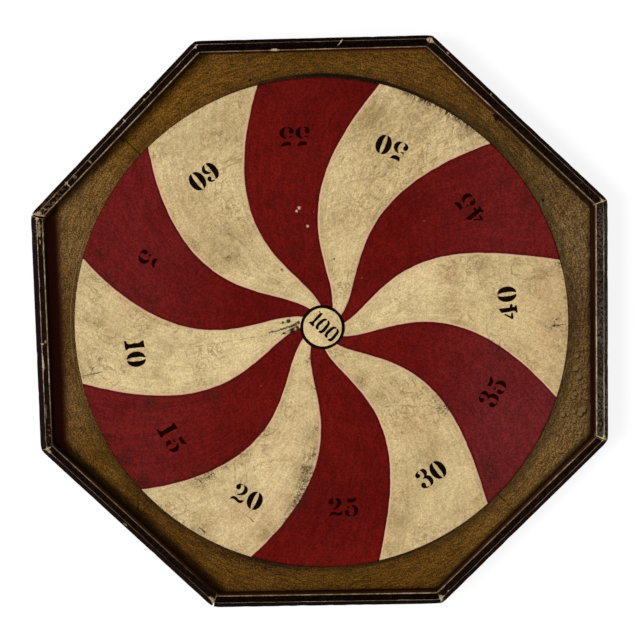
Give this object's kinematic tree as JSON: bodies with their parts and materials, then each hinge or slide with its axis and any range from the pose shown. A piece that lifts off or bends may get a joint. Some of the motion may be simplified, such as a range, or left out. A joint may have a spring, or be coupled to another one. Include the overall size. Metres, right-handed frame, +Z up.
{
  "type": "penny pitch board",
  "caption": "Octagonal wooden penny pitch board: a shallow tray with a raised black rim, a mustard field and a round red and cream pinwheel target with stencilled scores.",
  "frame": {"origin": "on the surface that the board rests on, below the centre of its octagon", "axes": "+Z up out of the painted face, +Y towards the top rim strip as the picture shows it, +X towards the right rim strip"},
  "size_m": [0.61, 0.61, 0.0545],
  "materials": {
    "rim_paint": "worn black paint on pine, rubbed to cream primer and bare wood along the edges",
    "field_paint": "aged mustard-brown paint on pine, grimy towards the rim",
    "target_paint": "aged cream and red paint on pine, fine cracks and stains",
    "old_pine": "bare oxidised pine, sawn and unplaned",
    "iron": "dark rusted iron nails",
    "steel": "dull aged steel screws"
  },
  "bodies": {
    "root": {"rim_top": "rim_paint", "rim_top_left": "rim_paint", "rim_left": "rim_paint", "rim_bottom_left": "rim_paint", "rim_bottom": "rim_paint", "rim_bottom_right": "rim_paint", "rim_right": "rim_paint", "rim_top_right": "rim_paint", "surround_top": "field_paint", "surround_left": "field_paint", "surround_bottom": "field_paint", "surround_right": "field_paint", "target_board_upper": "target_paint", "target_board_lower": "target_paint", "back_plank_left": "old_pine", "back_plank_middle": "old_pine", "back_plank_right": "old_pine", "cleat_upper": "old_pine", "cleat_lower": "old_pine", "rim_nails": "iron", "surround_brads": "iron", "target_screws": "steel", "cleat_screws": "steel"}
  },
  "joints": []
}
